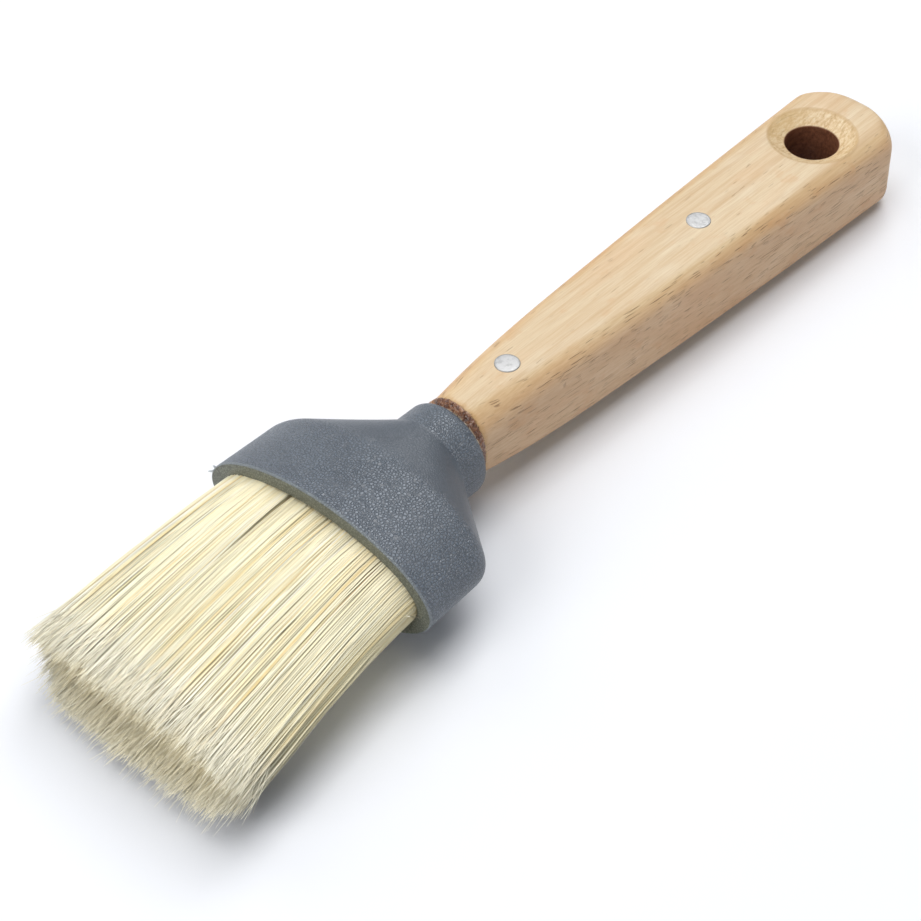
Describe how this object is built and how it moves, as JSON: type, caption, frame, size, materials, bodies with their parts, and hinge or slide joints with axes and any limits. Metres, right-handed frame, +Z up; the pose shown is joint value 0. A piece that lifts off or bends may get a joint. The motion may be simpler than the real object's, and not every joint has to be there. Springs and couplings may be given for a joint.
{
  "type": "pastry brush",
  "caption": "Flat pastry brush with a tapering rounded wooden handle, countersunk hanging hole, riveted tang, grey moulded ferrule and rows of natural bristle that bend at the ferrule.",
  "frame": {"origin": "below the middle of the brush, on the level of the ferrule's lowest point, which it rests on", "axes": "+Y from the bristle tips to the end of the handle, +Z up through the handle's flat top face, +X to the right seen from the bristles' end looking along the handle"},
  "size_m": [0.0576, 0.221, 0.0268],
  "materials": {
    "beech": "sanded, lightly oiled",
    "grey_plastic": "fine spark-eroded grain",
    "steel": "mill",
    "aluminium": "brushed",
    "brown_glue": "dried glue and scorched wood",
    "resin": "cast",
    "bristle": "natural bristle",
    "divider": "sawn"
  },
  "bodies": {
    "grip": {"handle": "beech", "ferrule": "grey_plastic", "tang": "steel", "rivet_front": "aluminium", "rivet_rear": "aluminium", "glue_bead": "brown_glue", "setting_resin": "resin", "bristle_roots": "bristle", "divider_plug": "divider"},
    "bristle_tuft": {"upper_bristles": "bristle", "lower_bristles": "bristle"}
  },
  "joints": [
    {"name": "bristle_bend", "type": "hinge", "parent": "grip", "child": "bristle_tuft", "pos_m": [0, -0.0602, 0.0134], "axis": [1, 0, 0], "range_deg": [-35, 35], "stiffness_Nm_per_rad": 0.25}
  ]
}
